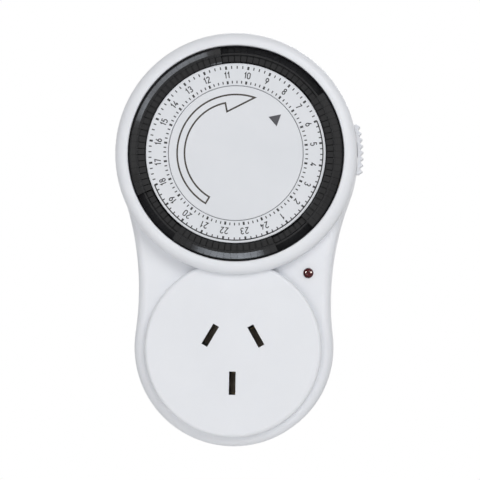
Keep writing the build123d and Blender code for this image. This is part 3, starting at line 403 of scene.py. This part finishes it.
def figures():
    """Width and pen strokes of each figure, one unit high.

    A stroke is its points and whether it closes.
    """
    wide = FIGURE_WIDTH
    half = wide / 2
    ring = bow(half, 1 - half, half, half, 0, 180) + bow(half, half, half, half, 180, 360)
    oval = bow(half, 0.29, half, 0.29, 0, 360)[:-1]
    tail = [(0.33, 1), (0.02, 0.39)]
    turned_oval, turned_tail = [[(wide - x, 1 - y) for x, y in line] for line in (oval, tail)]
    return {
        "0": (wide, [(ring, True)]),
        "1": (0.2, [([(0, 0.76), (0.2, 1), (0.2, 0)], False)]),
        "2": (wide, [(bow(half, 1 - half, half, half, 170, -25) + [(0, 0), (wide, 0)], False)]),
        "3": (wide, [
            (bow(half, 0.76, half - 0.01, 0.24, 155, -90) + [(half - 0.06, 0.52)], False),
            (bow(half, 0.26, half, 0.26, 90, -155), False),
        ]),
        "4": (wide, [
            ([(0.34, 1), (0, 0.27), (wide + 0.04, 0.27)], False),
            ([(0.33, 0.5), (0.33, 0)], False),
        ]),
        "5": (wide, [
            ([(0.42, 1), (0.06, 1), (0.03, 0.56)] + bow(0.22, 0.31, 0.24, 0.31, 125, -150), False),
        ]),
        "6": (wide, [(oval, True), (tail, False)]),
        "7": (wide, [([(0, 1), (wide, 1), (0.14, 0)], False)]),
        "8": (wide, [
            (bow(half, 0.765, 0.19, 0.235, 0, 360)[:-1], True),
            (bow(half, 0.265, half, 0.265, 0, 360)[:-1], True),
        ]),
        "9": (wide, [(turned_oval, True), (turned_tail, False)]),
    }


def numeral(text, angle, shapes):
    """Ribbons of a number, its top away from the dial's axis."""
    scale = NUMERAL_HEIGHT - NUMERAL_LINE
    up = Vector(polar(1, angle))
    right = Vector((up.y, -up.x))
    total = sum(shapes[figure][0] for figure in text) + FIGURE_GAP * (len(text) - 1)
    left = -total / 2
    faces = []
    for figure in text:
        width, strokes = shapes[figure]
        for line, closed in strokes:
            points = [
                right * (left + x) * scale + up * ((y - 0.5) * scale + NUMERAL_MIDDLE)
                for x, y in line
            ]
            faces += ribbon(points, NUMERAL_LINE, closed)
        left += width + FIGURE_GAP
    return faces


def dial_numbers():
    shapes = figures()
    faces = []
    for hour in range(1, HOURS + 1):
        faces += numeral(str(hour), hour_angle(hour), shapes)
    print_piece("hour_numbers", faces, "dial", "print_black")


def dial_ticks():
    faces = []
    for quarter in range(HOURS * QUARTERS_PER_HOUR):
        angle = hour_angle(quarter / QUARTERS_PER_HOUR)
        on_hour = quarter % QUARTERS_PER_HOUR == 0
        width = HOUR_TICK_WIDTH if on_hour else TICK_WIDTH
        inset = 0 if on_hour else QUARTER_INSET
        for inner, outer in (OUTER_TICKS, INNER_TICKS):
            faces.append(radial_bar(inner + inset, outer, angle, width))
    print_piece("quarter_ticks", faces, "dial", "print_black")


def night_arc():
    line = arc(NIGHT_RADIUS, hour_angle(NIGHT_FROM), hour_angle(NIGHT_TO))
    print_piece("night_arc", ribbon(line, NIGHT_WIDTH), "dial", "print_black")


def running_arrow():
    outline = arc(ARROW_OUTER, ARROW_TAIL, ARROW_TIP)
    outline.append(polar(*ARROW_BARB))
    outline += arc(ARROW_INNER, ARROW_NECK, ARROW_TAIL)
    faces = ribbon(outline, ARROW_LINE, closed=True)
    print_piece("running_arrow", faces, "casing", "print_brown")


def time_pointer():
    base = POINTER_BASE / math.cos(math.radians(POINTER_SPREAD))
    corners = [
        polar(POINTER_TIP, POINTER_ANGLE),
        polar(base, POINTER_ANGLE + POINTER_SPREAD),
        polar(base, POINTER_ANGLE - POINTER_SPREAD),
    ]
    print_piece("time_pointer", [corners], "casing", "print_grey")


# ---------------------------------------------------------------- painted shade of the screws' cross recesses
def screw_recesses():
    """Painted shade: a flat dark cross on the head of each of the four screws in the back, where a
    cross recess would be.
    """
    low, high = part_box("housing_screws")
    middle = (low + high) / 2
    screws = nodes["housing_screws"]
    heads = {}
    for vertex in screws.data.vertices:
        point = screws.matrix_world @ vertex.co
        if point.y > high.y - HEAD_SLACK:
            heads.setdefault((point.x > middle.x, point.z > middle.z), []).append(point)
    faces = []
    for place, turn in zip(sorted(heads), CROSS_TURNS):
        across = [point.x for point in heads[place]]
        along = [point.z for point in heads[place]]
        x = (min(across) + max(across)) / 2
        z = (min(along) + max(along)) / 2
        arms = ((-CROSS_REACH, 0), (CROSS_WIDTH / 2, 90), (CROSS_WIDTH / 2, 270))
        for inner, quarter in arms:
            bar = radial_bar(inner, CROSS_REACH, turn + quarter, CROSS_WIDTH)
            faces.append([(x + corner.x, high.y + INK_LIFT, z + corner.y) for corner in bar])
    flat_piece("screw_recesses", faces, 1, "casing", "painted_recess_shade")


# ---------------------------------------------------------------- stage, light and camera
def seen_rays(tree):
    """One where the camera, gloss or glass looks, and zero for the light that falls on things."""
    rays = tree.nodes.new("ShaderNodeLightPath")
    total = (rays, "Is Camera Ray")
    for output in ("Is Glossy Ray", "Is Transmission Ray"):
        add = tree.nodes.new("ShaderNodeMath")
        add.operation = "MAXIMUM"
        link(tree, *total, add, 0)
        link(tree, rays, output, add, 1)
        total = (add, "Value")
    return total


def by_rays(tree, plain, seen):
    """Strength of a light: plain for what it lights, seen for what is looked at."""
    strength = tree.nodes.new("ShaderNodeMapRange")
    strength.inputs["To Min"].default_value = plain
    strength.inputs["To Max"].default_value = seen
    link(tree, *seen_rays(tree), strength, "Value")
    return (strength, "Result")


def floor():
    """Pale floor under the object; it looks white and keeps the object's shadow."""
    mesh = bpy.data.meshes.new("floor")
    square = ((-1, -1), (1, -1), (1, 1), (-1, 1))
    corners = [(x * FLOOR_REACH, y * FLOOR_REACH, LOWEST - FLOOR_DROP) for x, y in square]
    mesh.from_pydata(corners, [], [(0, 1, 2, 3)])
    ground = bpy.data.objects.new("floor", mesh)
    bpy.context.scene.collection.objects.link(ground)
    material, tree, shader = new_material("floor")
    shader.inputs["Base Color"].default_value = FLOOR_PALE
    roughen(tree, noise(tree, *FLOOR_GLOSS), shader, *FLOOR_ROUGH)
    shader.inputs["Emission Color"].default_value = WHITE
    link(tree, *by_rays(tree, 0.0, FLOOR_GLOW), shader, "Emission Strength")
    mesh.materials.append(material)


def world_light():
    """White where it is seen, and an even pale light elsewhere."""
    world = bpy.data.worlds.new("studio")
    world.use_nodes = True
    bpy.context.scene.world = world
    tree = world.node_tree
    background = tree.nodes["Background"]
    background.inputs["Color"].default_value = WHITE
    link(tree, *by_rays(tree, WORLD_LEVEL, 1.0), background, "Strength")


def soft_box(name, azimuth, forward, distance, size, radiance):
    """Area light that faces the dial, its length round the dial."""
    turn, lean = math.radians(azimuth), math.radians(forward)
    dial = Vector((DIAL_X, DISC_FACE, DIAL_Z))
    level = math.cos(lean)
    away = Vector((math.cos(turn) * level, -math.sin(lean), math.sin(turn) * level))
    round_dial = Vector((-math.sin(turn), 0, math.cos(turn)))
    facing = Matrix((round_dial, away.cross(round_dial), away)).transposed().to_4x4()
    lamp = bpy.data.lights.new(name, "AREA")
    lamp.shape = "RECTANGLE"
    lamp.size, lamp.size_y = size
    lamp.energy = radiance * math.pi * size[0] * size[1]
    holder = bpy.data.objects.new(name, lamp)
    bpy.context.scene.collection.objects.link(holder)
    holder.matrix_world = Matrix.Translation(dial + away * distance) @ facing
    holder.visible_camera = False
    return holder


def gleams(lights, colour, start):
    """Lights that show only as highlights, on the nodes whose names have one start."""
    pieces = bpy.data.collections.new(start)
    for name, node in nodes.items():
        if name.startswith(start):
            pieces.objects.link(node)
    for name, place in lights.items():
        holder = soft_box(name, *place)
        holder.data.color = colour
        holder.visible_diffuse = False
        holder.light_linking.receiver_collection = pieces


def camera():
    """Camera where the photograph was taken from."""
    data = bpy.data.cameras.new("camera")
    data.sensor_width = SENSOR
    data.lens = SENSOR * CAMERA_DISTANCE / (PIXEL_SIZE * PHOTO_PIXELS)
    data.clip_start = CLIP_START
    holder = bpy.data.objects.new("camera", data)
    bpy.context.scene.collection.objects.link(holder)
    right, down = math.radians(CAMERA_RIGHT), math.radians(CAMERA_DOWN)
    level = math.cos(down)
    back = Vector((math.sin(right) * level, -math.cos(right) * level, -math.sin(down)))
    roll = Matrix.Rotation(math.radians(CAMERA_ROLL), 3, "Z")
    turn = back.to_track_quat("Z", "Y").to_matrix() @ roll
    holder.matrix_world = Matrix.Translation(AIM + back * CAMERA_DISTANCE) @ turn.to_4x4()
    bpy.context.scene.camera = holder


dial_numbers()
dial_ticks()
night_arc()
running_arrow()
time_pointer()
screw_recesses()

floor()
world_light()
for name, place in LIGHTS.items():
    soft_box(name, *place)
gleams(TAPPET_GLEAMS, COOL, "tappets")
gleams(LENS_GLEAMS, WARM, "indicator_lens")
camera()
bpy.context.scene.view_settings.view_transform = "Standard"
